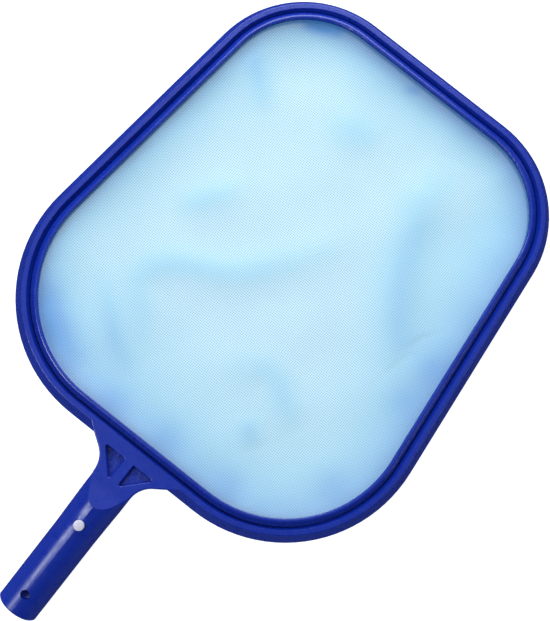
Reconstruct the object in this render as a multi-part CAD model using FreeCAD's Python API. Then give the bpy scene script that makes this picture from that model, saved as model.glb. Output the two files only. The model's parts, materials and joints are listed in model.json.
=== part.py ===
import FreeCAD, Part
import math
import os

# Leaf skimmer net, in millimetres.  A one-piece plastic frame carries a rim, a neck and a hollow
# socket that plugs into a pole.  A ring pressed into the rim's channel traps the net's hem, and a
# V-shaped spring clip inside the socket pushes two snap buttons out through its wall.
#
# Everything is drawn in the head's own axes: X across, Y from the neck to the far side, Z square
# to the rim's top band, which is the plane Z = 0.  At the end the whole object is laid down so
# that it rests on the far rim and on the socket's end, with Z up.

V = FreeCAD.Vector
UP = V(0, 0, 1)

# --- driving dimensions -------------------------------------------------------------------
HEAD_LENGTH = 317.5          # near rim to far rim, over the top band
NEAR_HALF_WIDTH = 150.5      # half width at the near side, corners taken as sharp
FAR_HALF_WIDTH = 119.0       # half width at the far side, corners taken as sharp
NEAR_CORNER = 91.0           # corner radii of the top band's outer edge
FAR_CORNER = 71.0

RIM_DEPTH = 10.0             # top band to the skirt's bottom edge
SKIRT_FLARE = 4.5            # how far the skirt leans out at its bottom
WALL = 2.0                   # general wall of the moulding
EDGE_ROUND = 0.8             # rounded outer edge of the top band
BAND = 3.7                   # flat top band
GROOVE_TOE = 5.9             # foot of the slope that leads down from the band into the groove
GROOVE_FLOOR = -4.2          # narrow floor of the open groove between the band and the ring
CHANNEL_IN = 6.9             # channel that takes the ring's tongue
CHANNEL_OUT = 8.4
CHANNEL_FLOOR = -6.4
LEDGE = -3.4                 # ledge that the net's hem lies on
LEDGE_EDGE = 10.3            # inner edge of the ledge
INNER_LEG = 8.5              # outer face of the leg under the ledge

RING_TOE = 6.4               # outer face of the ring, standing on the groove's floor
RING_SLOPE_FOOT = -1.2       # where that face turns into the ring's sloping back
RING_SHOULDER = 8.2          # where the slope turns into the ring's broad top
RING_CREST = 1.2             # top of the ring above the top band
RING_INNER = 10.9            # inner face of the ring
RING_FOOT = -2.6             # underside of the ring over the hem

FABRIC = 0.4                 # net and hem, drawn thicker than the real cloth
HEM_OUTER = 8.7
HEM_INNER = 10.2
NET_DROP = ((11.2, -3.5), (16.0, -5.4), (26.0, -8.3), (42.0, -10.7), (62.0, -12.2))

SOCKET_BEND = 14.5           # degrees that the socket drops away from the head's plane
SOCKET_START = V(0, -34.0, -10.1)
SOCKET_LENGTH = 90.8
SOCKET_RADIUS = 14.0         # slides into a pole of about 29 mm bore
SOCKET_NECK_RADIUS = 14.6    # the socket thickens towards the neck
PARALLEL_LENGTH = 62.0       # true cylinder from the open end
BORE_RADIUS = 11.0
BORE_START = 3.5             # blind end of the bore, along the socket's axis
END_CHAMFER = 1.0

BUTTON_AT = 18.2             # along the socket's axis
BUTTON_RADIUS = 3.4
BUTTON_HOLE_RADIUS = 3.65
BUTTON_TOP = 16.7            # from the socket's axis
END_HOLE_AT = 75.7
END_HOLE_RADIUS = 3.1

NECK_HALF_WIDTH = 35.6       # where the plate's edge meets the rim
NECK_FLARE_END = V(22.0, -9.45, 0)    # the straight flare turns into a curve here
NECK_WAIST = V(14.5, -23.3, 0)        # and runs along the round neck from here
NECK_MERGE = V(10.4, -36.5, 0)        # until it is buried in the neck's back
NECK_CURVE = 17.0            # radius of that curve
KEEL_START = -17.0           # along the socket's axis, where the round neck starts to shrink
KEEL_END = V(0, 2.6, -3.4)   # and where its small end is buried in the rim
KEEL_END_RADIUS = 6.6
RAMP_FOOT = -28.0            # Y where the plate turns up to the socket's back
RAMP_TOP = -40.0             # Y where that ramp runs out on the socket's back
EDGE_SOFT = 0.8              # rounding of the neck's upper edges and the ramp's crescents
RAMP_FOOT_SOFT = 18.0        # rounding of the hollow at the ramp's foot

POCKET_DEPTH = 4.5
POCKET_DRAFT = 0.9           # the pocket's floor is this much smaller all round
POCKET_ROUND = 1.2
POCKET_LIP = 0.7             # rounding of the pocket's upper edge
POCKET_CORNERS = (V(3.3, -5.3, 0), V(19.8, -5.3, 0), V(3.3, -22.6, 0))

SPRING_STRIP = 0.6           # thickness of the clip's steel
SPRING_WIDTH = 8.0
SPRING_BEND_AT = 57.0        # where the bend starts, along the socket's axis
SPRING_BEND_RADIUS = 3.0
SPRING_TIP_AT = 11.5
SPRING_FLAT_AT = 23.0        # the strip runs level from here to the tip
SPRING_SEAT = 9.9            # strip's outer face at the buttons, from the axis


# --- the head's outline ---------------------------------------------------------------------
SIDE_LEAN = math.atan2(NEAR_HALF_WIDTH - FAR_HALF_WIDTH, HEAD_LENGTH)


def corner_centre(radius, y):
    """Centre, on the right, of a corner circle that touches the leaning side and sits at y."""
    reach = NEAR_HALF_WIDTH * math.cos(SIDE_LEAN)
    x = (reach - radius - y * math.sin(SIDE_LEAN)) / math.cos(SIDE_LEAN)
    return V(x, y, 0)


NEAR_CENTRE = corner_centre(NEAR_CORNER, NEAR_CORNER)
FAR_CENTRE = corner_centre(FAR_CORNER, HEAD_LENGTH - FAR_CORNER)


def mirrored(point):
    return V(-point.x, point.y, point.z)


def corners():
    """The four corners, anticlockwise: centre, radius, start angle and end angle."""
    lean = SIDE_LEAN
    quarter = math.pi / 2
    return [
        (NEAR_CENTRE, NEAR_CORNER, -quarter, lean),
        (FAR_CENTRE, FAR_CORNER, lean, quarter),
        (mirrored(FAR_CENTRE), FAR_CORNER, quarter, math.pi - lean),
        (mirrored(NEAR_CENTRE), NEAR_CORNER, math.pi - lean, 3 * quarter),
    ]


def on_corner(corner, angle, inset=0.0, z=0.0):
    centre, radius = corner[0], corner[1]
    reach = radius - inset
    return centre + V(reach * math.cos(angle), reach * math.sin(angle), z)


def outline_face(inset, z):
    """The head's outline, moved in by inset, as a flat face at height z."""
    edges = []
    last = None
    for corner in corners():
        start = on_corner(corner, corner[2], inset, z)
        middle = on_corner(corner, (corner[2] + corner[3]) / 2, inset, z)
        end = on_corner(corner, corner[3], inset, z)
        if last is not None:
            edges.append(Part.makeLine(last, start))
        edges.append(Part.Arc(start, middle, end).toShape())
        last = end
    edges.append(Part.makeLine(last, edges[0].Vertexes[0].Point))
    return Part.Face(Part.Wire(edges))


def section_face(section, origin, inward):
    """A closed section standing upright; a point is (inset, z), an arc is three such points."""
    def place(point):
        return origin + inward * point[0] + UP * point[1]

    edges = []
    first = section[0][-1] if isinstance(section[0][0], tuple) else section[0]
    last = first
    for step in list(section[1:]) + [section[0]]:
        if isinstance(step[0], tuple):
            start, middle, end = step
            if start != last:
                edges.append(Part.makeLine(place(last), place(start)))
            edges.append(Part.Arc(place(start), place(middle), place(end)).toShape())
            last = end
        else:
            edges.append(Part.makeLine(place(last), place(step)))
            last = step
    return Part.Face(Part.Wire(edges))


def around_outline(section):
    """Carry a section round the whole outline: extruded on the straights, turned at corners."""
    pieces = []
    ring = corners()
    for index, corner in enumerate(ring):
        centre, radius, start, end = corner
        outward = V(math.cos(start), math.sin(start), 0)
        face = section_face(section, centre + outward * radius, outward * -1)
        pieces.append(face.revolve(centre, UP, math.degrees(end - start)))

        following = ring[(index + 1) % 4]
        here = on_corner(corner, end)
        there = on_corner(following, following[2])
        outward = V(math.cos(end), math.sin(end), 0)
        face = section_face(section, here, outward * -1)
        pieces.append(face.extrude(there - here))
    return pieces[0].multiFuse(pieces[1:]).removeSplitter()


# --- the socket's own axes ------------------------------------------------------------------
BEND = math.radians(SOCKET_BEND)
ALONG = V(0, -math.cos(BEND), -math.sin(BEND))      # from the neck to the open end
OUT = V(0, -math.sin(BEND), math.cos(BEND))         # square to the axis, to the upper side


def on_socket(along, out=0.0, across=0.0):
    return SOCKET_START + ALONG * along + OUT * out + V(across, 0, 0)


def profile(points):
    """A closed profile in the socket's mirror plane; a point is (along, out)."""
    wire = Part.makePolygon([on_socket(a, o) for a, o in points] + [on_socket(*points[0])])
    return Part.Face(wire)


def turned(points):
    """A profile turned once round the socket's axis."""
    return profile(points).revolve(SOCKET_START, ALONG, 360)


# --- pieces -------------------------------------------------------------------------------
def rim():
    """Hollow rim: skirt, top band, groove, tongue channel and ledge, open underneath."""
    foot_inner = -SKIRT_FLARE + WALL + 0.2
    corner = EDGE_ROUND * (1 - math.sqrt(0.5))
    return around_outline([
        ((0.0, -EDGE_ROUND), (corner, -corner), (EDGE_ROUND, 0.0)),
        (BAND - 0.3, 0.0),
        (BAND, -0.3),
        (GROOVE_TOE, GROOVE_FLOOR),
        (CHANNEL_IN, GROOVE_FLOOR),
        (CHANNEL_IN, CHANNEL_FLOOR),
        (CHANNEL_OUT, CHANNEL_FLOOR),
        (CHANNEL_OUT, LEDGE),
        (LEDGE_EDGE - 0.4, LEDGE),
        (LEDGE_EDGE, LEDGE - 0.4),
        (LEDGE_EDGE, -RIM_DEPTH),
        (INNER_LEG, -RIM_DEPTH),
        (INNER_LEG, CHANNEL_FLOOR - WALL),
        (CHANNEL_IN - WALL, CHANNEL_FLOOR - WALL),
        (CHANNEL_IN - WALL - 0.7, GROOVE_FLOOR - WALL),
        (BAND - 1.8, -2.8),
        (1.25, -2.8),
        (foot_inner, -RIM_DEPTH),
        (-SKIRT_FLARE, -RIM_DEPTH),
    ])


def flat_arc(a, b, radius):
    """A shallow arc in the plane Z = 0 from a to b, bulging to the right of the way a -> b."""
    chord = b - a
    half = chord.Length / 2
    rise = radius - math.sqrt(radius * radius - half * half)
    side = V(chord.y, -chord.x, 0).normalize() * rise
    return Part.Arc(a, (a + b) * 0.5 + side, b).toShape()


def neck_plan():
    """The flare's outline: along the round neck, a concave curve, then a straight flare."""
    flare_far = V(NECK_HALF_WIDTH, -0.2, 0)
    root = V(NECK_HALF_WIDTH, 1.5, 0)
    right = [
        Part.makeLine(NECK_MERGE, NECK_WAIST),
        flat_arc(NECK_FLARE_END, NECK_WAIST, NECK_CURVE),
        Part.makeLine(NECK_FLARE_END, flare_far),
        Part.makeLine(flare_far, root),
    ]
    left = [edge.mirror(V(0, 0, 0), V(1, 0, 0)) for edge in right]
    across = Part.makeLine(root, mirrored(root))
    back = Part.makeLine(mirrored(NECK_MERGE), NECK_MERGE)
    return Part.Face(Part.Wire(Part.__sortEdges__(right + left + [across, back])))


def triangle_wire(points, inset, round_radius, z):
    """A triangle moved in by inset all round, with rounded corners, at height z."""
    count = len(points)
    moved = []
    for index in range(count):
        before, here, after = points[index - 1], points[index], points[(index + 1) % count]
        to_before = (before - here).normalize()
        to_after = (after - here).normalize()
        half_angle = to_before.getAngle(to_after) / 2
        bisector = (to_before + to_after).normalize()
        moved.append((here + bisector * (inset / math.sin(half_angle)), to_before, to_after, half_angle))
    edges = []
    last = None
    for corner, to_before, to_after, half_angle in moved:
        reach = round_radius / math.tan(half_angle)
        bisector = (to_before + to_after).normalize()
        centre = corner + bisector * (round_radius / math.sin(half_angle))
        start, end = corner + to_before * reach, corner + to_after * reach
        middle = centre - bisector * round_radius
        start, middle, end = (V(p.x, p.y, z) for p in (start, middle, end))
        if last is not None:
            edges.append(Part.makeLine(last, start))
        edges.append(Part.Arc(start, middle, end).toShape())
        last = end
    edges.append(Part.makeLine(last, edges[0].Vertexes[0].Point))
    return Part.Wire(edges)


def pocket(side):
    """A right-angled triangular pocket beside the neck's middle rib, narrowing to its floor."""
    points = [V(side * p.x, p.y, 0) for p in POCKET_CORNERS]
    spread = POCKET_DRAFT / POCKET_DEPTH
    above = 1.0
    top = triangle_wire(points, -spread * above, POCKET_ROUND + spread * above, above)
    floor = triangle_wire(points, POCKET_DRAFT, POCKET_ROUND - POCKET_DRAFT * 0.9, -POCKET_DEPTH)
    return Part.makeLoft([top, floor], True, True)


def ramp_plane():
    """Height of the ramp's top end and its slope, so that it runs out on the socket's back."""
    top = on_socket(0, SOCKET_NECK_RADIUS / math.cos(BEND)).z
    top -= (SOCKET_START.y - RAMP_TOP) * math.tan(BEND)
    return top, top / (RAMP_FOOT - RAMP_TOP)


def above_plate():
    """What lies over the plate and over the ramp that climbs to the socket's back."""
    top, slope = ramp_plane()
    reach, head_room = 4.0, 30.0
    ramp_end = V(0, RAMP_TOP - reach, top + slope * reach)
    points = [V(0, 6, 0), V(0, RAMP_FOOT, 0), ramp_end,
              V(0, ramp_end.y, head_room), V(0, 6, head_room)]
    face = Part.Face(Part.makePolygon(points + [points[0]]))
    face.translate(V(-60, 0, 0))
    return face.extrude(V(120, 0, 0))


def edge_points(edge):
    return [edge.valueAt(edge.FirstParameter + (edge.LastParameter - edge.FirstParameter) * k / 4)
            for k in range(5)]


def is_ramp_foot(points):
    return all(abs(p.z) < 0.01 and abs(p.y - RAMP_FOOT) < 0.01 for p in points)


def is_upper_edge(points):
    """The ramp's crescents, or an edge of the plate that lies outside the rim."""
    slope = ramp_plane()[1]
    on_ramp = all(abs(p.z - slope * (RAMP_FOOT - p.y)) < 0.01 for p in points)
    level = all(abs(p.z) < 0.01 for p in points) and min(p.y for p in points) < 0
    return (on_ramp or level) and not is_ramp_foot(points)


def round_edges(shape, radius, chosen):
    """Round the edges whose points pass the test."""
    edges = [edge for edge in shape.Edges if chosen(edge_points(edge))]
    return shape.makeFillet(radius, edges)


def neck_and_socket():
    """Plate flush with the top band, the round neck under it, and the socket, as one solid."""
    plate = round_edges(neck_plan().extrude(V(0, 0, -RIM_DEPTH)), EDGE_SOFT, is_upper_edge)
    rear = Part.Wire(Part.makeCircle(SOCKET_NECK_RADIUS, on_socket(KEEL_START), ALONG))
    front = Part.Wire(Part.makeCircle(KEEL_END_RADIUS, KEEL_END, V(0, -1, 0)))
    keel = Part.makeLoft([rear, front], True, True)
    stem = keel.fuse(socket()).removeSplitter().cut(above_plate())
    stem = round_edges(stem, RAMP_FOOT_SOFT, is_ramp_foot)
    stem = round_edges(stem, EDGE_SOFT, is_upper_edge)
    return stem.fuse(plate)


def socket():
    """Round socket: a true cylinder at the pole end, a slight cone, then the round neck."""
    shoulder = SOCKET_LENGTH - PARALLEL_LENGTH
    return turned([
        (KEEL_START, 0),
        (KEEL_START, SOCKET_NECK_RADIUS),
        (0, SOCKET_NECK_RADIUS),
        (shoulder, SOCKET_RADIUS),
        (SOCKET_LENGTH - END_CHAMFER, SOCKET_RADIUS),
        (SOCKET_LENGTH, SOCKET_RADIUS - END_CHAMFER),
        (SOCKET_LENGTH, 0),
    ])


def socket_bore():
    return turned([
        (BORE_START, 0),
        (BORE_START, BORE_RADIUS - 1.5),
        (BORE_START + 1.5, BORE_RADIUS),
        (SOCKET_LENGTH - 0.6, BORE_RADIUS),
        (SOCKET_LENGTH + 0.4, BORE_RADIUS + 1.0),
        (SOCKET_LENGTH + 2, BORE_RADIUS + 1.0),
        (SOCKET_LENGTH + 2, 0),
    ])


def cross_hole(along, radius):
    length = 2 * SOCKET_RADIUS + 8
    return Part.makeCylinder(radius, length, on_socket(along, -length / 2), OUT)


def frame_moulding():
    """The whole blue moulding; the neck stops short of the rim's groove and of the net."""
    inside_rim = outline_face(BAND, 30.0).extrude(V(0, 0, -90))
    body = neck_and_socket().cut(inside_rim).fuse(rim())
    for side in (-1, 1):
        body = body.cut(pocket(side))
        reach = max(p.x for p in POCKET_CORNERS) + 1

        def on_pocket_edge(points):
            over = all(abs(p.z) < 0.01 and 0 < side * p.x < reach for p in points)
            return over and all(-24 < p.y < -4.5 for p in points)

        body = round_edges(body, POCKET_LIP, on_pocket_edge)
    body = body.cut(socket_bore())
    body = body.cut(cross_hole(BUTTON_AT, BUTTON_HOLE_RADIUS))
    body = body.cut(cross_hole(END_HOLE_AT, END_HOLE_RADIUS))
    return body.removeSplitter()


def retaining_ring():
    """Ring pressed into the channel by its tongue: a sloping back, then a broad, domed top."""
    back, front = RING_SHOULDER, RING_INNER
    near_top = RING_CREST - 0.1
    return around_outline([
        ((back, RING_CREST - 0.6), (back + 0.37, RING_CREST - 0.27), (back + 0.85, near_top)),
        ((back + 0.8, near_top), ((back + front) / 2, RING_CREST), (front - 0.7, near_top)),
        ((front - 0.7, near_top), (front - 0.2, RING_CREST - 0.3), (front, RING_CREST - 0.75)),
        (RING_INNER, RING_FOOT),
        (CHANNEL_OUT, RING_FOOT),
        (CHANNEL_OUT, CHANNEL_FLOOR + 0.4),
        (CHANNEL_IN, CHANNEL_FLOOR + 0.4),
        (CHANNEL_IN, GROOVE_FLOOR),
        (RING_TOE, GROOVE_FLOOR),
        (RING_TOE, RING_SLOPE_FOOT),
    ])


def net():
    """Shallow tray of mesh: clamped edge, steep shoulder, then an almost flat floor."""
    top = [(HEM_OUTER, LEDGE + FABRIC), (HEM_INNER + 0.3, LEDGE + FABRIC)]
    top += [(inset, z + FABRIC) for inset, z in NET_DROP]
    under = [(HEM_OUTER, LEDGE), (HEM_INNER - 0.4, LEDGE)] + list(NET_DROP)
    shoulder = around_outline(top + under[::-1])
    floor_inset, floor_z = NET_DROP[-1]
    floor = outline_face(floor_inset, floor_z).extrude(V(0, 0, FABRIC))
    return shoulder.fuse(floor).removeSplitter()


def net_hem():
    """Folded strip welded along the net's edge, trapped under the ring's foot."""
    low = LEDGE + FABRIC
    return around_outline([
        (HEM_OUTER, low), (HEM_INNER, low), (HEM_INNER, RING_FOOT), (HEM_OUTER, RING_FOOT),
    ])


def strip(centre_line, width):
    """A flat strip: its profile is a line of points with the strip's thickness on the inside."""
    return profile(centre_line).extrude(V(width, 0, 0)).translated(V(-width / 2, 0, 0))


def spring_bend():
    """U-shaped bend of the clip, facing the socket's open end."""
    outer = Part.makeCylinder(SPRING_BEND_RADIUS, SPRING_WIDTH,
                              on_socket(SPRING_BEND_AT, 0, -SPRING_WIDTH / 2), V(1, 0, 0))
    inner = Part.makeCylinder(SPRING_BEND_RADIUS - SPRING_STRIP, SPRING_WIDTH,
                              on_socket(SPRING_BEND_AT, 0, -SPRING_WIDTH / 2), V(1, 0, 0))
    half = strip([
        (SPRING_BEND_AT, -5), (SPRING_BEND_AT, 5), (SPRING_BEND_AT + 6, 5), (SPRING_BEND_AT + 6, -5),
    ], SPRING_WIDTH + 2)
    return outer.cut(inner).common(half)


def spring_leg(side):
    """One leg: from the bend it climbs to the bore's wall, then runs level under the button."""
    outer = [
        (SPRING_BEND_AT, SPRING_BEND_RADIUS),
        (SPRING_FLAT_AT, SPRING_SEAT),
        (SPRING_TIP_AT, SPRING_SEAT),
    ]
    inner = [(along, out - SPRING_STRIP) for along, out in reversed(outer)]
    leg = strip([(along, side * out) for along, out in outer + inner], SPRING_WIDTH)
    hole = Part.makeCylinder(1.7, 4, on_socket(BUTTON_AT, side * (SPRING_SEAT - 2)), OUT * side)
    return leg.cut(hole)


def snap_button(side):
    """Domed button with a rivet stem that is upset under the spring's leg."""
    seat = SPRING_SEAT
    dome = 0.7
    edge = 0.5
    half = [
        V(0, 0, BUTTON_TOP),
        V(BUTTON_RADIUS - edge, 0, BUTTON_TOP - dome + edge * 0.75),
        V(BUTTON_RADIUS, 0, BUTTON_TOP - dome - edge * 0.3),
        V(BUTTON_RADIUS, 0, seat),
        V(1.65, 0, seat),
        V(1.65, 0, seat - SPRING_STRIP),
        V(2.6, 0, seat - SPRING_STRIP),
        V(2.3, 0, seat - SPRING_STRIP - 0.8),
        V(0, 0, seat - SPRING_STRIP - 0.8),
    ]
    rise = dome - edge * 0.75
    crown_middle = V((BUTTON_RADIUS - edge) / 2, 0, BUTTON_TOP - rise / 4)
    crown = Part.Arc(half[0], crown_middle, half[1])
    edges = [crown.toShape()]
    edges += [Part.makeLine(a, b) for a, b in zip(half[1:], half[2:] + half[:1])]
    button = Part.Face(Part.Wire(edges)).revolve(V(0, 0, 0), UP, 360)
    axis = OUT * side
    button.Placement = FreeCAD.Placement(on_socket(BUTTON_AT), FreeCAD.Rotation(UP, axis))
    return button


# --- laying the object down -------------------------------------------------------------------
def resting_placement():
    """Turn about X until the far skirt edge and the socket's end touch one floor, then lift."""
    far = V(0, HEAD_LENGTH + SKIRT_FLARE, -RIM_DEPTH)
    end = on_socket(SOCKET_LENGTH - END_CHAMFER, -SOCKET_RADIUS)
    tilt = math.atan2(far.z - end.z, far.y - end.y)
    turn = FreeCAD.Rotation(V(1, 0, 0), -math.degrees(tilt))
    edge = on_socket(SOCKET_LENGTH - END_CHAMFER, SOCKET_RADIUS)
    tip = on_socket(SOCKET_LENGTH, SOCKET_RADIUS - END_CHAMFER)
    low = turn.multVec(far)
    back = min(turn.multVec(edge).y, turn.multVec(tip).y)
    return FreeCAD.Placement(V(0, -(low.y + back) / 2, -low.z), turn)


def main():
    os.makedirs("parts", exist_ok=True)
    placement = resting_placement()
    pieces = {
        "frame": frame_moulding(),
        "retaining_ring": retaining_ring(),
        "net": net(),
        "net_hem": net_hem(),
        "spring_bend": spring_bend(),
        "spring_leg_upper": spring_leg(1),
        "spring_leg_lower": spring_leg(-1),
        "button_upper": snap_button(1),
        "button_lower": snap_button(-1),
    }
    for name, shape in pieces.items():
        placed = shape.copy()
        placed.Placement = placement.multiply(placed.Placement)
        box = placed.optimalBoundingBox(False, False)
        print(name, placed.ShapeType, len(placed.Solids), placed.isValid(), round(placed.Volume, 1),
              [round(v, 2) for v in (box.XMin, box.YMin, box.ZMin, box.XMax, box.YMax, box.ZMax)])
        placed.exportStep("parts/" + name + ".step")
    turn = placement.Rotation
    for label, point in (("socket start", SOCKET_START), ("socket end", on_socket(SOCKET_LENGTH)),
                         ("button", on_socket(BUTTON_AT)), ("end hole", on_socket(END_HOLE_AT))):
        print(label, [round(v, 4) for v in placement.multVec(point)])
    for label, way in (("along", ALONG), ("out", OUT)):
        print(label, [round(v, 6) for v in turn.multVec(way)])
    print("tilt", round(math.degrees(turn.Angle), 4))


main()
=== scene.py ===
import json
import math

import bpy
import numpy as np
from mathutils import Matrix, Vector


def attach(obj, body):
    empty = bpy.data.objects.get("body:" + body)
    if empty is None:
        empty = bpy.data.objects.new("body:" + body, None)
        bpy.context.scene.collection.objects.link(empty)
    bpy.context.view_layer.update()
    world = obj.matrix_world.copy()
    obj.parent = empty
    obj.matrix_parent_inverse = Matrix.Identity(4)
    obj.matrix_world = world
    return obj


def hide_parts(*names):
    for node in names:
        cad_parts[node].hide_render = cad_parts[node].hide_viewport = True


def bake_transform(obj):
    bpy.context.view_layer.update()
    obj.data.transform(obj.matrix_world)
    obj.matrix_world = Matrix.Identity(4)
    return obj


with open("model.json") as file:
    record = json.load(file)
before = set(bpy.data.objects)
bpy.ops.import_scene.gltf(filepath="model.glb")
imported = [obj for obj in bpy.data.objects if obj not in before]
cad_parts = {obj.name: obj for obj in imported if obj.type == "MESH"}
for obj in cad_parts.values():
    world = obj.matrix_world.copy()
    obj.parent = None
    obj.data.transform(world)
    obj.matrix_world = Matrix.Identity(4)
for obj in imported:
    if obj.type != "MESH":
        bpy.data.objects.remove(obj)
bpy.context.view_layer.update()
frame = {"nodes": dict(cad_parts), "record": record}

# Leaf skimmer net: a blue moulded head and socket, a pressed-in ring, a pale blue woven net with
# its hem, a steel spring clip and two white snap buttons.  Everything is in metres, in the CAD
# model's frame.  The head's own axes, in millimetres, are X across, Y from the neck to the far
# side and Z square to the rim's top band.

MM = 0.001
record = frame["record"]
nodes = frame["nodes"]
mounts = {mount["name"]: mount for mount in record["mounts"]}

# --- the head's own axes, from the CAD model's mounts ---------------------------------------
SOCKET_BEND = math.radians(14.5)       # the socket's drop from the head's plane
SOCKET_START = (0.0, -34.0, -10.1)     # where the socket's axis starts
END_HOLE_AT = 75.7                     # the end hole, along the socket's axis

socket_axis = mounts["pole_socket"]["axis"]
HEAD_TILT = math.atan2(-socket_axis[2], -socket_axis[1]) - SOCKET_BEND
TILT = Matrix.Rotation(HEAD_TILT, 4, "X")


def socket_point(along, out=0.0, across=0.0):
    """A point in the head's axes: along the socket's axis, out square to it, and across."""
    cos, sin = math.cos(SOCKET_BEND), math.sin(SOCKET_BEND)
    y = SOCKET_START[1] - along * cos - out * sin
    z = SOCKET_START[2] - along * sin + out * cos
    return Vector((across, y, z))


HEAD_AT = Vector(mounts["end_hole"]["pos_m"]) - TILT @ (socket_point(END_HOLE_AT) * MM)


def laid_down(points):
    """Head axes in millimetres to the frame in metres: scaled, tilted about X, then moved."""
    turn = np.array(TILT.to_3x3())
    return points * MM @ turn.T + np.array(HEAD_AT)


# --- the rim's outline, the same as the CAD model's ------------------------------------------
HEAD_LENGTH = 317.5
NEAR_HALF_WIDTH = 150.5
FAR_HALF_WIDTH = 119.0
NEAR_CORNER = 91.0
FAR_CORNER = 71.0
SIDE_LEAN = math.atan2(NEAR_HALF_WIDTH - FAR_HALF_WIDTH, HEAD_LENGTH)

HEM_OUTER = 8.7          # the net's edge, inset from the rim's outline
HEM_INNER = 10.2
LEDGE = -3.4             # the ledge under the net's edge
RING_FOOT = -2.6
RING_INNER = 10.9


def corner_centre(radius, y):
    reach = NEAR_HALF_WIDTH * math.cos(SIDE_LEAN)
    return np.array(((reach - radius - y * math.sin(SIDE_LEAN)) / math.cos(SIDE_LEAN), y))


def rim_line(count):
    """The rim's outline as count points at even steps, with the direction that points inwards.

    Straight sides and corner arcs follow each other; at each step the point is interpolated
    between the two ends of its side, or turned by its share of the corner's angle, so a point
    moved in by any inset is the point plus the inward direction times the inset."""
    near = corner_centre(NEAR_CORNER, NEAR_CORNER)
    far = corner_centre(FAR_CORNER, HEAD_LENGTH - FAR_CORNER)
    flip = np.array((-1.0, 1.0))
    quarter = math.pi / 2
    arcs = [
        (near, NEAR_CORNER, -quarter, SIDE_LEAN),
        (far, FAR_CORNER, SIDE_LEAN, quarter),
        (far * flip, FAR_CORNER, quarter, math.pi - SIDE_LEAN),
        (near * flip, NEAR_CORNER, math.pi - SIDE_LEAN, 3 * quarter),
    ]
    steps = []
    for index, (centre, radius, start, end) in enumerate(arcs):
        next_centre, next_radius = arcs[(index + 1) % 4][:2]
        out = np.array((math.cos(end), math.sin(end)))
        straight = np.linalg.norm(next_centre + out * next_radius - centre - out * radius)
        steps.append((centre, radius, start, end, radius * (end - start)))
        steps.append((centre, next_centre, radius, next_radius, end, straight))
    length = sum(step[-1] for step in steps)
    at = (np.arange(count) + 0.5) / count * length
    points, inward = np.zeros((count, 2)), np.zeros((count, 2))
    begun = 0.0
    for step in steps:
        here = (at >= begun) & (at < begun + step[-1])
        share = ((at[here] - begun) / step[-1])[:, None]
        if len(step) == 5:
            centre, radius, start, end, _ = step
            angle = start + (end - start) * share
            out = np.hstack((np.cos(angle), np.sin(angle)))
            points[here] = centre + out * radius
        else:
            centre, next_centre, radius, next_radius, angle, _ = step
            out = np.array((math.cos(angle), math.sin(angle)))
            first, last = centre + out * radius, next_centre + out * next_radius
            points[here] = first + (last - first) * share
        inward[here] = -out
        begun += step[-1]
    return points, inward


# --- meshes ---------------------------------------------------------------------------------
def make_piece(name, points, faces, material, uv=None, smooth=True, painted_shade=None):
    """A mesh object at the origin from points in metres, with a material, maybe a UV map of the
    threads, and maybe the painted shade on the cloth at each point."""
    mesh = bpy.data.meshes.new(name)
    mesh.from_pydata([tuple(p) for p in points.tolist()], [], [tuple(f) for f in faces])
    mesh.polygons.foreach_set("use_smooth", [smooth] * len(mesh.polygons))
    if uv is not None:
        corner = np.zeros(len(mesh.loops), np.int32)
        mesh.loops.foreach_get("vertex_index", corner)
        layer = mesh.uv_layers.new(name="threads")
        layer.data.foreach_set("uv", uv[corner].astype(np.float32).ravel())
    # painted shade for the net, kept on its points
    if painted_shade is not None:
        layer = mesh.attributes.new("painted_shade", "FLOAT", "POINT")
        layer.data.foreach_set("value", painted_shade.astype(np.float32))
    mesh.materials.append(material)
    mesh.update()
    piece = bpy.data.objects.new(name, mesh)
    bpy.context.scene.collection.objects.link(piece)
    return piece


def grid_faces(rows, columns, closed_columns, closed_rows=False):
    """Quads between a grid's rows and columns; a closed grid joins its last to its first."""
    down = np.arange(rows if closed_rows else rows - 1)[:, None]
    across = np.arange(columns if closed_columns else columns - 1)[None, :]
    below, beside = (down + 1) % rows, (across + 1) % columns
    quads = (down * columns + across, down * columns + beside,
             below * columns + beside, below * columns + across)
    shape = (len(down), across.size)
    return np.stack([np.broadcast_to(quad, shape) for quad in quads], -1).reshape(-1, 4)


# --- materials ------------------------------------------------------------------------------
def linear(hex_colour):
    """An sRGB hex colour as linear red, green, blue and alpha."""
    parts = [int(hex_colour[i:i + 2], 16) / 255 for i in (1, 3, 5)]
    light = [c / 12.92 if c <= 0.04045 else ((c + 0.055) / 1.055) ** 2.4 for c in parts]
    return (*light, 1.0)


def add(tree, kind, inputs=None, **settings):
    """Add a node: settings are its properties, and an input is a value, the output that feeds it,
    or a node, which stands for its first output."""
    node = tree.nodes.new(kind)
    for name, value in settings.items():
        setattr(node, name, value)
    for key, value in (inputs or {}).items():
        if isinstance(value, bpy.types.Node):
            value = value.outputs[0]
        if isinstance(value, bpy.types.NodeSocket):
            tree.links.new(value, node.inputs[key])
        else:
            node.inputs[key].default_value = value
    return node


def new_material(name):
    material = bpy.data.materials.new(name)
    material.use_nodes = True
    material.node_tree.nodes.clear()
    return material, material.node_tree


def head_place(tree):
    """Object coordinates turned into the head's own axes, in millimetres."""
    here = add(tree, "ShaderNodeTexCoord").outputs["Object"]
    return add(tree, "ShaderNodeMapping", {
        "Vector": here, "Location": HEAD_AT, "Rotation": (HEAD_TILT, 0, 0), "Scale": (MM, MM, MM),
    }, vector_type="TEXTURE")


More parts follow.
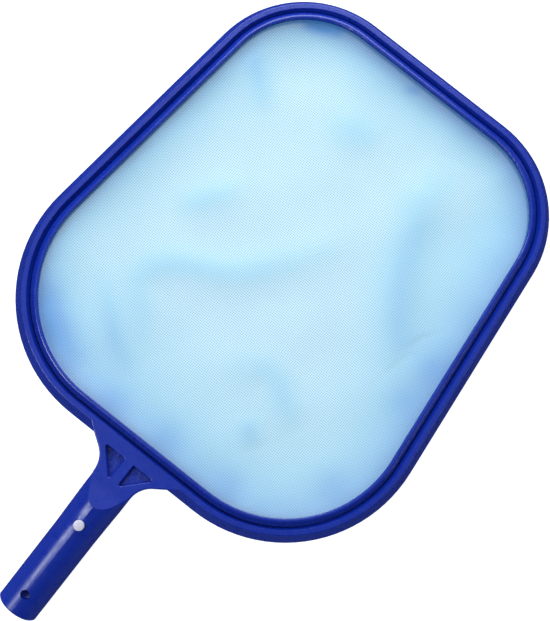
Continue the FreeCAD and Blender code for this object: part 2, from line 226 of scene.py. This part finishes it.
FLOW_MARK = 35.0         # where the plastic ran round the rim, in millimetres as all of these
SATIN_PATCH = 6.0        # unevenness of the gloss
WALL_WAVE = 14.0         # slight sink and waviness of the walls
POCKET_LUMP = 3.0        # lumps on the pockets' floors
MOULD_GRAIN = 1.8        # spark-eroded grain, really 0.2 mm, drawn wider so that it shows


def moulded_blue(name, deep, pale, roughness, seed):
    """Injection-moulded polypropylene in cobalt blue, from a polished steel mould: a satin gloss.

    It gives the eye a deep even blue with soft broad highlights, faint flow marks where the
    plastic ran round the rim, a gloss that varies a little, and a fine mould grain."""
    material, tree = new_material(name)
    place = head_place(tree)
    shifted = add(tree, "ShaderNodeVectorMath", {0: place, 1: (seed * 37.0, seed * 11.0, 0)},
                  operation="ADD")
    flow = add(tree, "ShaderNodeTexNoise", {
        "Vector": shifted, "Scale": 1 / FLOW_MARK, "Detail": 3.0,
    })
    colour = add(tree, "ShaderNodeMix", {
        "Factor": add(tree, "ShaderNodeMapRange", {
            "Value": flow, "From Min": 0.35, "From Max": 0.65,
        }),
        "A": linear(deep), "B": linear(pale),
    }, data_type="RGBA").outputs["Result"]
    satin = add(tree, "ShaderNodeTexNoise", {
        "Vector": shifted, "Scale": 1 / SATIN_PATCH, "Detail": 4.0,
    })
    rough = add(tree, "ShaderNodeMapRange", {
        "Value": satin, "From Min": 0.3, "From Max": 0.7,
        "To Min": roughness - 0.05, "To Max": roughness + 0.06,
    })
    grain = add(tree, "ShaderNodeTexNoise", {
        "Vector": shifted, "Scale": 1 / MOULD_GRAIN, "Detail": 1.0,
    })
    grained = add(tree, "ShaderNodeBump", {
        "Height": grain, "Strength": 0.2, "Distance": 0.006 * MM,
    })
    wave = add(tree, "ShaderNodeTexNoise", {
        "Vector": shifted, "Scale": 1 / WALL_WAVE, "Detail": 1.0,
    })
    waved = add(tree, "ShaderNodeBump", {
        "Height": wave, "Strength": 0.4, "Distance": 0.07 * MM, "Normal": grained,
    })
    # the mould left the two pockets' floors rough: between the rim and the ramp, beside the rib,
    # and between the floors' own level and the underside
    across, along, height = add(tree, "ShaderNodeSeparateXYZ", {0: place}).outputs
    in_pocket = add(tree, "ShaderNodeMapRange", {
        "Value": height, "From Min": -3.6, "From Max": -4.1,
    })
    for value, test, limit in (
        (along, "LESS_THAN", -4.0),
        (along, "GREATER_THAN", -24.0),
        (add(tree, "ShaderNodeMath", {0: across}, operation="ABSOLUTE"), "LESS_THAN", 20.5),
        (height, "GREATER_THAN", -4.8),
    ):
        inside = add(tree, "ShaderNodeMath", {0: value, 1: limit}, operation=test)
        in_pocket = add(tree, "ShaderNodeMath", {0: in_pocket, 1: inside}, operation="MULTIPLY")
    lumps = add(tree, "ShaderNodeTexNoise", {
        "Vector": shifted, "Scale": 1 / POCKET_LUMP, "Detail": 2.0,
    })
    bump = add(tree, "ShaderNodeBump", {
        "Height": add(tree, "ShaderNodeMath", {0: lumps, 1: in_pocket}, operation="MULTIPLY"),
        "Strength": 0.8, "Distance": 0.6 * MM, "Normal": waved,
    })
    surface = add(tree, "ShaderNodeBsdfPrincipled", {
        "Base Color": colour, "Roughness": rough, "IOR": 1.49, "Normal": bump,
    })
    add(tree, "ShaderNodeOutputMaterial", {"Surface": surface})
    return material


NET_SPACING = 1.35       # the threads really lie 0.7 mm apart, drawn further apart to show
DYE_PATCH = 50.0         # the dye takes a little unevenly
NET_PALE = "#A5D6E6"
NET_PALER = "#ADDBEA"
NET_GAP = "#1F5C7C"      # between the threads, where the weave is open
NET_SHADE_LIGHT = "#62BAD6"     # painted shade on the net, where it is light
NET_SHADE_DEEP = "#468CCB"     # painted shade on the net, where it is deepest


def woven_net(name, open_work=True):
    """Woven polyester monofilament, pale blue and translucent, in a fine plain weave.

    The eye sees a bright, even pale blue with a fine grid of slightly deeper dots where the weave
    is open.  Painted shade along the rim, on the folds and in spots beside the near and right sides
    makes the blue deeper there and lets less of the table show through.  Light also passes through
    the threads, so the net glows where it is lit from behind."""
    material, tree = new_material(name)
    threads = add(tree, "ShaderNodeUVMap", uv_map="threads")
    u, v, _ = add(tree, "ShaderNodeSeparateXYZ", {0: threads}).outputs
    turns = 2 * math.pi / (NET_SPACING * MM)

    def wave(value, per_thread):
        """A cosine of a thread coordinate, with so many turns to each thread."""
        angle = add(tree, "ShaderNodeMath", {0: value, 1: turns * per_thread},
                    operation="MULTIPLY")
        return add(tree, "ShaderNodeMath", {0: angle}, operation="COSINE")

    # 0 on a thread's middle and 1 half-way to the next, as a raised cosine each way, multiplied
    between_u, between_v = [
        add(tree, "ShaderNodeMapRange", {"Value": wave(value, 1.0), "From Min": 1, "From Max": -1})
        for value in (u, v)
    ]
    gap = add(tree, "ShaderNodeMath", {0: between_u, 1: between_v}, operation="MULTIPLY")
    # up on one thread and down on the next
    over_under = add(tree, "ShaderNodeMath", {0: wave(u, 0.5), 1: wave(v, 0.5)},
                     operation="MULTIPLY")
    lift = add(tree, "ShaderNodeMapRange", {
        "Value": over_under, "From Min": -1, "From Max": 1, "To Min": 0.0, "To Max": 0.4,
    })
    bump = add(tree, "ShaderNodeBump", {
        "Height": add(tree, "ShaderNodeMath", {0: lift, 1: gap}, operation="SUBTRACT"),
        "Strength": 0.5, "Distance": 0.12 * MM,
    })
    # painted shade: the net is made deeper blue and less see-through along the rim, on the folds
    # and in spots beside the near and right sides
    painted_shade = add(tree, "ShaderNodeAttribute", attribute_name="painted_shade").outputs["Fac"]
    dye = add(tree, "ShaderNodeTexNoise", {
        "Vector": head_place(tree), "Scale": 1 / DYE_PATCH, "Detail": 2.0,
    })
    pale = add(tree, "ShaderNodeMix", {
        "Factor": add(tree, "ShaderNodeMapRange", {
            "Value": dye, "From Min": 0.35, "From Max": 0.65,
        }),
        "A": linear(NET_PALE), "B": linear(NET_PALER),
    }, data_type="RGBA").outputs["Result"]
    woven = add(tree, "ShaderNodeMix", {
        "Factor": add(tree, "ShaderNodeMath", {0: gap, 1: 0.95}, operation="MULTIPLY"),
        "A": pale, "B": linear(NET_GAP),
    }, data_type="RGBA").outputs["Result"]
    # the painted shade's colour, light where it is faint and deep where it is strong
    shade_colour = add(tree, "ShaderNodeMix", {
        "Factor": add(tree, "ShaderNodeMapRange", {
            "Value": painted_shade, "From Min": 0.3, "From Max": 0.7,
        }),
        "A": linear(NET_SHADE_LIGHT), "B": linear(NET_SHADE_DEEP),
    }, data_type="RGBA").outputs["Result"]
    colour = add(tree, "ShaderNodeMix", {
        "Factor": painted_shade, "A": woven, "B": shade_colour,
    }, data_type="RGBA").outputs["Result"]
    thread = add(tree, "ShaderNodeBsdfPrincipled", {
        "Base Color": colour, "Roughness": 0.45, "IOR": 1.53, "Normal": bump,
    })
    glow = add(tree, "ShaderNodeBsdfTranslucent", {"Color": colour})
    cloth = add(tree, "ShaderNodeMixShader", {0: 0.4, 1: thread, 2: glow})
    if open_work:
        # the real weave is too fine to draw its holes, so the cloth is see-through all over: a
        # little less in the drawn gaps, which keeps them deeper in colour, and much less where the
        # painted shade is strong
        see_through = add(tree, "ShaderNodeMapRange", {
            "Value": gap, "To Min": 0.31, "To Max": 0.16,
        })
        unshaded = add(tree, "ShaderNodeMapRange", {
            "Value": painted_shade, "To Min": 1.0, "To Max": 0.1,
        })
        openness = add(tree, "ShaderNodeMath", {0: see_through, 1: unshaded}, operation="MULTIPLY")
        clear = add(tree, "ShaderNodeBsdfTransparent")
        cloth = add(tree, "ShaderNodeMixShader", {0: openness, 1: cloth, 2: clear})
    add(tree, "ShaderNodeOutputMaterial", {"Surface": cloth})
    return material


def spring_steel():
    """Cold-rolled stainless spring strip: grey, bright, with fine rolling lines along the strip."""
    material, tree = new_material("rolled_spring_steel")
    # rolling lines, really 0.05 mm apart, drawn 0.4 mm apart across and drawn out lengthwise
    stretched = add(tree, "ShaderNodeMapping", {
        "Vector": add(tree, "ShaderNodeTexCoord").outputs["Object"], "Scale": (2500, 90, 400),
    })
    lines = add(tree, "ShaderNodeTexNoise", {"Vector": stretched, "Scale": 1.0, "Detail": 3.0})
    bump = add(tree, "ShaderNodeBump", {
        "Height": lines, "Strength": 0.2, "Distance": 0.02 * MM,
    })
    rough = add(tree, "ShaderNodeMapRange", {
        "Value": lines, "From Min": 0.3, "From Max": 0.7, "To Min": 0.26, "To Max": 0.4,
    })
    surface = add(tree, "ShaderNodeBsdfPrincipled", {
        "Base Color": linear("#B9BBBD"), "Metallic": 1.0, "Roughness": rough, "Normal": bump,
    })
    add(tree, "ShaderNodeOutputMaterial", {"Surface": surface})
    return material


def button_nylon():
    """Moulded white nylon: a milky white with a soft gloss and a trace of handling dirt."""
    material, tree = new_material("moulded_white_nylon")
    # dirt and unevenness in patches 2.5 mm across
    cloud = add(tree, "ShaderNodeTexNoise", {
        "Vector": head_place(tree), "Scale": 1 / 2.5, "Detail": 3.0,
    })
    colour = add(tree, "ShaderNodeMix", {
        "Factor": add(tree, "ShaderNodeMapRange", {
            "Value": cloud, "From Min": 0.35, "From Max": 0.7,
        }),
        "A": linear("#DDD8E4"), "B": linear("#CDC8D6"),
    }, data_type="RGBA").outputs["Result"]
    bump = add(tree, "ShaderNodeBump", {
        "Height": cloud, "Strength": 0.3, "Distance": 0.1 * MM,
    })
    rough = add(tree, "ShaderNodeMapRange", {
        "Value": cloud, "From Min": 0.3, "From Max": 0.7, "To Min": 0.34, "To Max": 0.46,
    })
    surface = add(tree, "ShaderNodeBsdfPrincipled", {
        "Base Color": colour, "Roughness": rough, "IOR": 1.53, "Normal": bump,
        "Subsurface Weight": 0.12, "Subsurface Radius": (1.2, 1.1, 1.0), "Subsurface Scale": MM,
    })
    add(tree, "ShaderNodeOutputMaterial", {"Surface": surface})
    return material


frame_blue = moulded_blue("moulded_polypropylene_frame", "#0D2990", "#102D97",
                          roughness=0.29, seed=0)
ring_blue = moulded_blue("moulded_polypropylene_ring", "#0E2A91", "#112E98",
                         roughness=0.27, seed=5)
net_cloth = woven_net("woven_polyester_net")
hem_cloth = woven_net("folded_polyester_hem", open_work=False)
steel = spring_steel()
nylon = button_nylon()

for name, material in {
    "frame": frame_blue, "retaining_ring": ring_blue, "net": net_cloth, "net_hem": hem_cloth,
    "spring_bend": steel, "spring_leg_upper": steel, "spring_leg_lower": steel,
    "button_upper": nylon, "button_lower": nylon,
}.items():
    if not nodes[name].material_slots:
        nodes[name].data.materials.append(material)
    for slot in nodes[name].material_slots:
        slot.material = material


# --- the net ----------------------------------------------------------------------------------
NET_LEVEL = -3.2         # the sheet's level where the ring clamps it
NET_SAG = 8.9            # how far its floor lies below that
NET_REACH = 17.0         # the distance over which it sinks
NET_FLAT_INSET = 62.0    # its points follow the rim's outline as far in as this
NET_AROUND = 420         # points to each ring of them
NET_MIDDLE = 0.49        # the middle that its points shrink to, as a share of the head's length
# soft folds of the slack cloth: a line in the head's plane, the fold's height, its half width and
# the painted shade along it, which stands for the shade on the fold's slopes
FOLDS = (
    (((-32, 53), (-57, 75), (-70, 93), (-58, 112), (-24, 132), (4, 166), (19, 195)),
     4.0, 14.0, 0.34),
    (((-97, 85), (-77, 67), (-54, 48), (-33, 40)), 2.4, 11.0, 0.28),
    (((-85, 141), (-74, 152), (-64, 167), (-52, 183)), 2.4, 12.0, 0.27),
    (((-109, 257), (-92, 244), (-76, 227)), 2.2, 10.0, 0.28),
    (((-40, 243), (-22, 256), (-2, 257)), 2.4, 17.0, 0.26),
    (((40, 281), (45, 259), (47, 239), (63, 196), (85, 163), (98, 157)), 4.4, 19.0, 0.36),
    (((5, 74), (34, 95), (55, 85), (72, 78)), 2.8, 13.0, 0.27),
    (((38, 64), (57, 50)), 1.8, 10.0, 0.26),
    (((-3, 305), (-14, 297)), 0.8, 3.5, 0.16),
    (((-95, 291), (-67, 305)), 1.0, 7.0, 0.45),
    (((-120, 60), (-96, 34), (-60, 22)), 1.2, 22.0, 0.30),
)
# spots of painted shadow on the net along the near and right sides, where the rim's shadow on the
# table shows through
RIM_SHADOW_SPOTS = ((-33, 19), (9, 24), (57, 25), (107, 65), (111, 134), (115, 162))


def along_curve(points, count=14):
    """Points on the Catmull-Rom cubic through the given points, count to each span."""
    points = np.array(points, float)
    ends = np.vstack((2 * points[0] - points[1], points, 2 * points[-1] - points[-2]))
    t = np.linspace(0, 1, count, endpoint=False)[:, None]
    spans = []
    for a, b, c, d in zip(ends, ends[1:], ends[2:], ends[3:]):
        bend = (2 * a - 5 * b + 4 * c - d) * t ** 2 + (3 * b - a - 3 * c + d) * t ** 3
        spans.append((2 * b + (c - a) * t + bend) / 2)
    return np.vstack(spans + [points[-1:]])


def fold_bell(place, points, width):
    """A bell of the distance to the fold's line, exp(-(gap / width)^2), fading at its ends."""
    curve = along_curve(points)
    gap = np.linalg.norm(place[:, None, :] - curve[None, :, :], axis=2)
    share = gap.argmin(1) / (len(curve) - 1)
    fade = np.sin(np.pi * (0.03 + 0.94 * share)) ** 0.9
    return fade * np.exp(-(gap.min(1) / width) ** 2)


def painted_shade_at(place, free, inward):
    """Painted shade on the net, 0 to 1: a band along the rim, bands on the folds and spots beside
    the near and right sides, added up.

    The band's strength and reach follow the side it is on: short on the far and the left side,
    long elsewhere, blended by how far the rim's inward direction points down or to the right."""
    far_side = np.clip(-inward[..., 1], 0, 1) ** 2
    left_side = np.clip(inward[..., 0], 0, 1) ** 2
    strength = 0.64 + 0.14 * far_side - 0.04 * left_side
    reach = 38.0 - 20.0 * (far_side + left_side)
    # painted shade in a band along the rim, where the rim's shadow falls
    band = strength * np.exp(-(free / reach) ** 1.3)
    total = band.reshape(-1)
    for points, _, width, amount in FOLDS:
        total = total + amount * fold_bell(place, points, width * 0.8)
    # painted shadow spots beside the near and right sides
    for shadow_spot in RIM_SHADOW_SPOTS:
        total = total + 0.13 * np.exp(-(np.linalg.norm(place - np.array(shadow_spot), axis=1) / 13) ** 2)
    return np.clip(total, 0, 1)


def net_sheet():
    """The net: rings of points, first moved in from the rim, then shrinking to the middle.

    The height is the clamped level at the edge, then sinks as one minus a falling exponential of
    the inset; soft folds, small puckers along the ring and a slow waviness are added to it."""
    edge, inward = rim_line(NET_AROUND)
    steep = HEM_OUTER + (NET_FLAT_INSET - HEM_OUTER) * np.linspace(0, 1, 42) ** 1.25
    shrink = np.linspace(1, 0, 52)[1:]
    outer = edge[None] + inward[None] * steep[:, None, None]
    middle = np.array((0.0, HEAD_LENGTH * NET_MIDDLE))
    inner = middle + (outer[-1] - middle)[None] * shrink[:, None, None]
    plan = np.concatenate((outer, inner))
    inset = np.concatenate((steep, NET_FLAT_INSET + 85 * (1 - shrink)))[:, None]
    inset = np.broadcast_to(inset, plan.shape[:2])
    free = np.clip(inset - RING_INNER, 0, None)
    sink = 1 - np.exp(-free / NET_REACH)
    around = np.arange(NET_AROUND) / NET_AROUND * 2 * math.pi
    # 31 and 19 small puckers round the rim, under a millimetre high, fading over 14 mm
    pucker = np.sin(31 * around + 1.3 * np.sin(5 * around)) * 0.35
    pucker = pucker + np.sin(19 * around + 2.0) * 0.3
    height = NET_LEVEL - NET_SAG * sink
    height = height + pucker[None] * np.exp(-free / 14) * np.clip(free / 5, 0, 1)
    place = plan.reshape(-1, 2)
    folds = sum(height_of * fold_bell(place, line, width) for line, height_of, width, _ in FOLDS)
    x, y = place.T
    # a slow waviness of the slack cloth, under a millimetre high
    slow = 0.5 * np.sin(x / 17 + y / 29) * np.sin(y / 21 - x / 43) + 0.3 * np.sin(x / 9 - y / 15)
    side = np.broadcast_to(inward[None], plan.shape)
    # painted shade along the rim, on the folds and in spots beside the near and right sides
    painted_shade = painted_shade_at(place, free, side)
    free = free.reshape(-1)
    height = height.reshape(-1) + (folds + slow) * np.clip(free / 12, 0, 1) ** 2
    points = np.column_stack((place, height))
    rows = plan.shape[0]
    faces = grid_faces(rows, NET_AROUND, True)[:, ::-1].tolist()
    last = (rows - 1) * NET_AROUND
    points = points[:last + 1]
    faces = [face for face in faces if max(face) < last]
    start = last - NET_AROUND
    faces += [(start + (k + 1) % NET_AROUND, start + k, last) for k in range(NET_AROUND)]
    return points, faces, painted_shade[:last + 1]


# the net's points, its faces and its painted shade at each point
points, faces, painted_shade = net_sheet()
net_piece = make_piece("net_sheet", laid_down(points), faces, net_cloth, uv=points[:, :2] * MM,
                       painted_shade=painted_shade)
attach(net_piece, "handle_and_head")
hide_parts("net")


def hem_fold():
    """The hem: the net's edge folded over once, as a flat section carried round the rim.

    The section is a closed loop of two layers joined by a round fold; its width swells and
    shrinks a little along the rim where the cloth is gathered."""
    edge, inward = rim_line(NET_AROUND)
    around = np.arange(NET_AROUND) / NET_AROUND * 2 * math.pi
    turn = np.arange(16) / 16 * 2 * math.pi
    half_width = (HEM_INNER - HEM_OUTER) / 2 - 0.06
    half_height = (RING_FOOT - LEDGE) / 4 - 0.02
    gather = 1 + 0.05 * np.sin(90 * around)
    squared = np.sign(np.cos(turn)) * np.abs(np.cos(turn)) ** 0.5
    lifted = np.sign(np.sin(turn)) * np.abs(np.sin(turn)) ** 0.5
    inset = (HEM_OUTER + HEM_INNER) / 2 + squared[:, None] * half_width * gather[None]
    level = RING_FOOT - 0.01 - half_height + lifted[:, None] * half_height * np.ones(NET_AROUND)
    plan = edge[None] + inward[None] * inset[..., None]
    points = np.concatenate((plan, level[..., None]), 2).reshape(-1, 3)
    along = np.broadcast_to(around[None] * 145, inset.shape)
    uv = np.stack((along, inset), 2).reshape(-1, 2) * MM
    return points, grid_faces(16, NET_AROUND, True, True).tolist(), uv


points, faces, uv = hem_fold()
hem_piece = make_piece("net_hem_fold", laid_down(points), faces, hem_cloth, uv=uv)
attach(hem_piece, "handle_and_head")
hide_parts("net_hem")

# --- the spring clip's legs -------------------------------------------------------------------
STRIP = 0.6              # thickness of the steel strip
STRIP_WIDTH = 8.0
BEND_AT = 57.0           # where a leg leaves the bend, along the socket's axis
BEND_RADIUS = 3.0
FLAT_AT = 23.0           # where it stops climbing, under the button
TIP_AT = 11.5
SEAT = 9.9               # its level under the button, from the socket's axis


def spring_leg(side):
    """One leg: a strip section carried along a line that climbs from the bend and runs level.

    The line's height is a smooth ramp from the bend's radius to the seat; the section is a
    rectangle with rounded edges, and the tip's width narrows as a quarter ellipse."""
    climbing, level = np.linspace(BEND_AT, FLAT_AT, 60), np.linspace(FLAT_AT, TIP_AT, 26)
    along = np.concatenate((climbing, level[1:]))
    climb = np.clip((BEND_AT - along) / (BEND_AT - FLAT_AT), 0, 1)
    ease = climb - np.sin(2 * math.pi * climb) / (2 * math.pi) * 0.12
    out = BEND_RADIUS - STRIP / 2 + (SEAT - BEND_RADIUS) * ease
    slope = np.gradient(out, along)
    turn = np.arange(16) / 16 * 2 * math.pi
    wide = np.sign(np.cos(turn)) * np.abs(np.cos(turn)) ** 0.25
    thick = np.sign(np.sin(turn)) * np.abs(np.sin(turn)) ** 0.25
    past = np.clip((TIP_AT + 3 - along) / 3, 0, 1)
    half_width = STRIP_WIDTH / 2 * (0.45 + 0.55 * np.sqrt(1 - past ** 2 * 0.999))
    length = np.sqrt(1 + slope ** 2)
    shift = thick[None] * STRIP / 2
    a = along[:, None] - shift * (slope / length)[:, None]
    o = out[:, None] + shift * (1 / length)[:, None]
    x = half_width[:, None] * wide[None]
    cos, sin = math.cos(SOCKET_BEND), math.sin(SOCKET_BEND)
    o = o * side
    y = SOCKET_START[1] - a * cos - o * sin
    z = SOCKET_START[2] - a * sin + o * cos
    points = np.stack((x, y, z), 2).reshape(-1, 3)
    rows = len(along)
    faces = grid_faces(rows, 16, True)
    faces = faces if side > 0 else faces[:, ::-1]
    faces = [tuple(f) for f in faces.tolist()]
    first, last = tuple(range(16)), tuple(range((rows - 1) * 16, rows * 16))
    faces += [first[::-1], last] if side > 0 else [first, last[::-1]]
    return points, faces


for side, leg, button in (
    (1, "spring_leg_upper", "upper_button"), (-1, "spring_leg_lower", "lower_button"),
):
    points, faces = spring_leg(side)
    piece = make_piece(leg.replace("leg", "strip"), laid_down(points), faces, steel)
    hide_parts(leg)
    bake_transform(piece)


# --- floor, light and camera ------------------------------------------------------------------
def studio_floor():
    """A wide flat white table, lit a little from inside as a light table is."""
    material, tree = new_material("white_table")
    surface = add(tree, "ShaderNodeBsdfPrincipled", {
        "Base Color": linear("#B4B4B4"), "Roughness": 0.7, "Specular IOR Level": 0.2,
        "Emission Color": linear("#FFFFFF"), "Emission Strength": 0.95,
    })
    add(tree, "ShaderNodeOutputMaterial", {"Surface": surface})
    reach = 4.0
    points = reach * np.array([(-1, -1, 0), (1, -1, 0), (1, 1, 0), (-1, 1, 0)])
    floor = make_piece("studio_floor", points, [(0, 1, 2, 3)], material, smooth=False)
    floor.visible_glossy = False     # the glossy plastic mirrors a dim room, not the table


def soft_light(name, towards, distance, size, power, colour="#EAF2FF"):
    """A rectangular panel in a direction from the frame's origin, facing it: the distance and
    the size are in metres, the power in watts."""
    light = bpy.data.lights.new(name, "AREA")
    light.shape = "RECTANGLE"
    light.size, light.size_y = size
    light.energy = power
    light.color = linear(colour)[:3]
    lamp = bpy.data.objects.new(name, light)
    way = Vector(towards).normalized()
    lamp.location = way * distance
    lamp.rotation_euler = way.to_track_quat("Z", "Y").to_euler()
    bpy.context.scene.collection.objects.link(lamp)


def studio_air():
    """A dim room that puts little light and few reflections on the object; the backdrop is pale."""
    world = bpy.data.worlds.new("studio_air")
    bpy.context.scene.world = world
    world.use_nodes = True
    tree = world.node_tree
    tree.nodes.clear()
    ray = add(tree, "ShaderNodeLightPath").outputs
    spread = add(tree, "ShaderNodeMath", {0: ray["Is Diffuse Ray"], 1: 0.15, 2: 0.03},
                 operation="MULTIPLY_ADD")
    strength = add(tree, "ShaderNodeMath", {0: ray["Is Camera Ray"], 1: 0.97, 2: spread},
                   operation="MULTIPLY_ADD")
    air = add(tree, "ShaderNodeBackground", {"Color": linear("#FFFFFF"), "Strength": strength})
    add(tree, "ShaderNodeOutputWorld", {"Surface": air})


studio_floor()
studio_air()
soft_light("key_panel", (-0.36, -0.48, 0.80), 1.4, (0.37, 0.65), 10.0)
soft_light("back_panel", (-0.42, 0.76, 0.50), 1.0, (0.8, 0.8), 12.0)
soft_light("overhead_panel", (0.05, 0.40, 0.91), 1.6, (1.2, 0.9), 1.3)
soft_light("left_panel", (-0.30, 0.18, 0.93), 1.6, (0.5, 1.1), 1.0)
soft_light("side_panel", (0.93, 0.25, 0.2), 1.4, (0.5, 0.5), 2.2)

# nearly overhead, with the handle towards the lower left
CAMERA_AT = Vector((0.044903, -0.017362, 0.891213))
CAMERA_FORWARD = Vector((-0.037874, 0.054795, -0.997779))
CAMERA_UP = Vector((-0.619305, 0.782351, 0.066472))
CAMERA_LENS = 78.3       # millimetres on a 36 mm sensor

view = bpy.data.cameras.new("view")
view.lens = CAMERA_LENS
view.sensor_width = 36.0
view.clip_start = 0.05
camera = bpy.data.objects.new("view", view)
side_way = CAMERA_FORWARD.cross(CAMERA_UP).normalized()
up_way = side_way.cross(CAMERA_FORWARD)
turned = Matrix((side_way, up_way, -CAMERA_FORWARD)).transposed()
camera.matrix_world = Matrix.Translation(CAMERA_AT) @ turned.to_4x4()
bpy.context.scene.collection.objects.link(camera)
bpy.context.scene.camera = camera
bpy.context.scene.view_settings.view_transform = "Standard"
